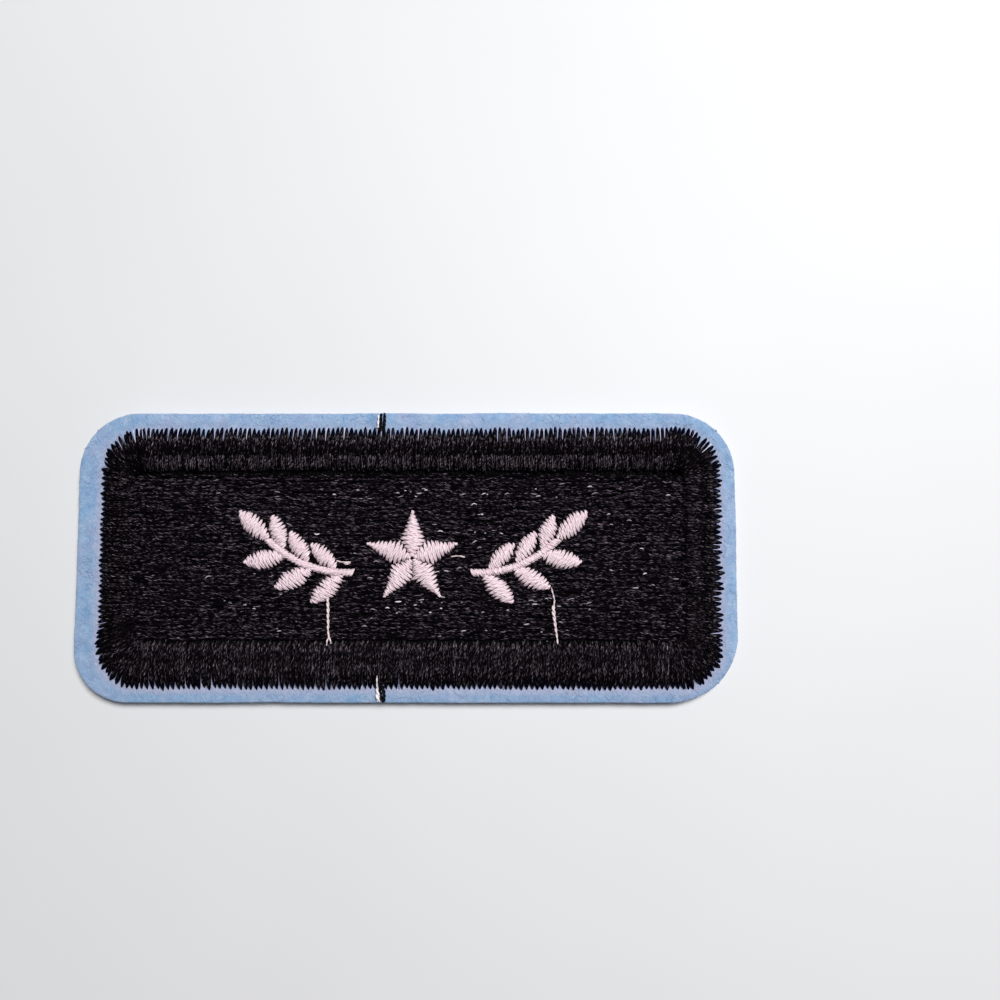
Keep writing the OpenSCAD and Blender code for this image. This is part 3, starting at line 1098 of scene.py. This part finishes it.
def loose_ends():
    """The thread tails that hang from the sprigs' leaves onto the field; the left one ends in a fork."""
    left = [
        (-8.95, -4.2, 2.3, 0.9), (-8.9, -5.2, 2.2, 1), (-8.84, -6.2, 2.18, 1), (-8.86, -7, 2.18, 0.85),
        (-8.8, -7.8, 2.18, 0.9), (-8.84, -8.4, 2.17, 0.7), (-8.76, -9, 2.17, 0.6), (-8.72, -9.3, 2.17, 0.5),
    ]
    fork = [
        [(-8.76, -8.9, 2.2, 0.5), (-8.72, -9.3, 2.22, 0.55), (-8.9, -9.7, 2.3, 0.5),
         (-8.9, -10.2, 2.45, 0.35)],
        [(-8.72, -9, 2.2, 0.5), (-8.62, -9.4, 2.22, 0.5), (-8.48, -9.75, 2.32, 0.45),
         (-8.42, -10, 2.45, 0.35)],
    ]
    right = [
        (16.9, -3.6, 2.4, 0.5), (17.15, -4.5, 2.2, 0.5), (17.3, -5.1, 2.16, 0.5), (17.2, -5.6, 2.16, 0.6),
        (17.12, -5.95, 2.18, 1.25), (17.16, -6.4, 2.19, 1.3), (17.26, -7.2, 2.18, 1.05),
        (17.42, -8.4, 2.17, 0.85), (17.56, -9.4, 2.18, 0.65), (17.62, -10.05, 2.3, 0.5),
    ]
    return plied("loose_ends", [left, right] + fork, 0.1, 1.3)


def jump_threads():
    """Short pale threads where the needle went from one form of the ornament to the next."""
    return plied("jump_threads", [
        [(-8, -0.5, 2, 0.7), (-7.5, -0.62, 2.16, 1), (-6.9, -0.7, 2.2, 1), (-6.3, -0.66, 2.3, 1)],
        [(-7.2, -0.75, 2, 0.6), (-6.9, -0.9, 2.18, 0.8), (-6.6, -0.86, 2.2, 0.8), (-6.3, -0.7, 2.3, 0.8)],
        [(5.3, -0.02, 2, 0.5), (5.9, 0.05, 2.18, 0.8), (6.4, 0.04, 2.2, 0.9), (6.9, -0.08, 2, 0.6)],
        [(12.2, -1.12, 2, 0.6), (12.7, -1.16, 2.16, 0.9), (13.2, -1.15, 2.25, 1), (13.6, -1.2, 2.35, 1)],
    ], 0.06, 2.5)


def dark_crossing_threads():
    """Black threads that cross the felt's margin above and below; the lower two are a loop."""
    return plied("dark_crossing_threads", [
        [(-2.98, 14.7, 2.2, 1), (-3, 15.2, 1.95, 1.1), (-3.03, 16, 1.84, 1.1), (-2.98, 16.8, 1.76, 0.8)],
        [(-2.62, 14.7, 2.2, 1), (-2.62, 15.2, 1.98, 1.1), (-2.58, 16, 1.84, 1.1), (-2.6, 16.85, 1.74, 0.8)],
        [(-2.72, -14.7, 2.2, 1), (-2.8, -15.1, 2, 1.1), (-2.78, -15.7, 1.88, 1.1),
         (-2.6, -16.4, 1.8, 1), (-2.42, -16.72, 1.7, 0.8)],
        [(-2.58, -14.7, 2.2, 1), (-2.42, -15.1, 2, 1.1), (-2.32, -15.7, 1.88, 1.1),
         (-2.3, -16.3, 1.8, 1), (-2.38, -16.72, 1.7, 0.8)],
    ], 0.1, 1)


def white_crossing_threads():
    """White threads beside the black ones, the lower one thick where it lies on the felt."""
    return plied("white_crossing_threads", [
        [(-3.33, 15.1, 2, 0.6), (-3.33, 15.5, 1.86, 0.7), (-3.31, 16.1, 1.82, 0.7),
         (-3.3, 16.65, 1.74, 0.6)],
        [(-3.05, -13.6, 2.6, 0.3), (-3.08, -14.1, 2.5, 0.6), (-3.1, -14.6, 2.3, 0.6), (-3.1, -15, 2, 0.8),
         (-3.06, -15.5, 1.88, 1.5), (-3.04, -16.1, 1.84, 1.8), (-3, -16.65, 1.76, 1.2)],
    ], 0.09, 1.4)


# Stage

def floor_finish():
    finish = Finish("floor")
    grain = finish.noise(finish.object_place(), 30.0, 2.0)
    return finish.surface({
        "Base Color": finish.mix(grain, tone(216, 217, 219), tone(221, 222, 224)),
        "Roughness": 0.6,
    })


def add_floor():
    bpy.ops.object.select_all(action="DESELECT")
    bpy.ops.mesh.primitive_plane_add(size=6.0, location=(0, 0, 0))
    floor = bpy.context.object
    floor.name = "floor"
    dress(floor, floor_finish())


def add_lights():
    """A dim, even studio and one soft light from the upper right."""
    world = bpy.data.worlds.new("studio")
    world.use_nodes = True
    background = world.node_tree.nodes["Background"].inputs
    background["Color"].default_value = (1.0, 0.98, 1.0, 1.0)
    background["Strength"].default_value = 0.1
    bpy.context.scene.world = world
    bpy.context.scene.view_settings.view_transform = "Standard"

    light = bpy.data.lights.new("key", "AREA")
    light.shape = "RECTANGLE"
    light.size = light.size_y = KEY_SIZE
    light.energy = KEY_POWER
    light.color = (1.0, 0.995, 0.99)
    lamp = add_object("key", light)
    lamp.location = KEY_PLACE
    lamp.rotation_euler = (-Vector(KEY_PLACE)).to_track_quat("-Z", "Y").to_euler()


def add_camera():
    camera = bpy.data.cameras.new("camera")
    camera.sensor_width = 36.0
    camera.lens = CAMERA_LENS
    camera.clip_start = 0.005
    holder = add_object("camera", camera)
    holder.location = CAMERA_PLACE
    holder.rotation_euler = [math.radians(degrees) for degrees in CAMERA_TURN]
    bpy.context.scene.camera = holder


# Putting the patch together

def put_on(piece, material, slot, *replaced):
    """Gives a piece its material and its place on the patch's one body."""
    dress(piece, material)
    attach(piece, "root")
    if replaced:
        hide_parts(*replaced)
    return piece


def put_on_felt():
    """The felt sheet and its fibres."""
    fibres = fibre_finish("felt_fibres", [
        (0.0, tone(88, 120, 168)), (0.12, tone(130, 158, 198)), (0.5, tone(152, 180, 214)),
        (0.8, tone(172, 194, 222)), (0.88, tone(184, 190, 212)), (1.0, tone(212, 204, 220)),
    ], tone(160, 182, 212))
    tuft_fibres = fibre_finish("tuft_fibres", [
        (0.0, tone(134, 139, 175)), (0.5, tone(172, 174, 208)), (1.0, tone(208, 207, 230)),
    ], tone(176, 180, 210))
    felt = put_on(felt_sheet(), felt_finish(), "felt", "felt_base")
    nap = put_on(felt_nap(), fibres, "felt")
    fuzz = put_on(felt_edge_fuzz(), fibres, "felt")
    tufts = put_on(felt_tufts(), tuft_fibres, "felt")


def put_on_stitching():
    """The black border and field."""
    # The navy tips colour is a painted shade, and the third colour of each thread is its painted glint.
    groove, painted_tip_shade = tone(0, 0, 1), tone(4, 6, 24)
    black = thread_finish("black_thread", groove, tone(16, 12, 17), tone(150, 137, 148), painted_tip_shade, 0.6, 0.02,
                          lay=4.0, ply_depth=0.1, glint_rate=2.2, drift=0.7, tip_run=(0.7, 1.6))
    fill_black = thread_finish("black_fill_thread", groove, tone(15, 11, 17), tone(144, 129, 144), painted_tip_shade, 0.6,
                               0.02, lay=5.0, ply_depth=0.1, glint_rate=1.8, drift=0.6)
    under_black = underlay_finish("black_underlay", tone(0, 0, 0), tone(3, 2, 3))
    put_on(underlay(), under_black, "black_thread", "satin_border", "stitched_field")
    put_on(border_stitches(), black, "black_thread", "satin_border")
    put_on(upper_inner_stitches(), black, "black_thread", "satin_border")
    put_on(field_stitches(), fill_black, "black_thread", "stitched_field")
    put_on(bobbin_specks(), speck_finish(), "pale_thread")


def put_on_ornament():
    # groove is the painted shade between the pale threads, and the near-white third colour their painted
    # glint.
    groove = tone(202, 170, 182)
    pale = thread_finish("pale_thread", groove, tone(255, 238, 244), tone(255, 250, 253), groove, 0.45, 0.4,
                         lay=0.8, ply_depth=0.06, glint_rate=2.8, drift=1.2)
    put_on(star_stitches(), pale, "pale_thread", "star_motif")
    put_on(sprig_stitches("left_sprig_stitches", True, 81), pale, "pale_thread", "left_sprig")
    put_on(sprig_stitches("right_sprig_stitches", False, 91), pale, "pale_thread", "right_sprig")


def put_on_loose_threads():
    pale = strand_finish("pale_strand", tone(205, 180, 186), tone(250, 238, 240), 0.4, 0.4)
    white = strand_finish("white_strand", tone(222, 216, 222), tone(255, 252, 253), 0.4, 0.4)
    black = strand_finish("black_strand", tone(3, 3, 6), tone(18, 16, 24), 0.35, 0.1)
    put_on(loose_ends(), pale, "pale_thread")
    put_on(jump_threads(), pale, "pale_thread")
    put_on(dark_crossing_threads(), black, "black_thread")
    put_on(white_crossing_threads(), white, "pale_thread")


def main():
    add_camera()
    add_lights()
    add_floor()
    dress(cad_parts["adhesive_film"], film_finish())
    put_on_felt()
    put_on_stitching()
    put_on_ornament()
    put_on_loose_threads()


main()
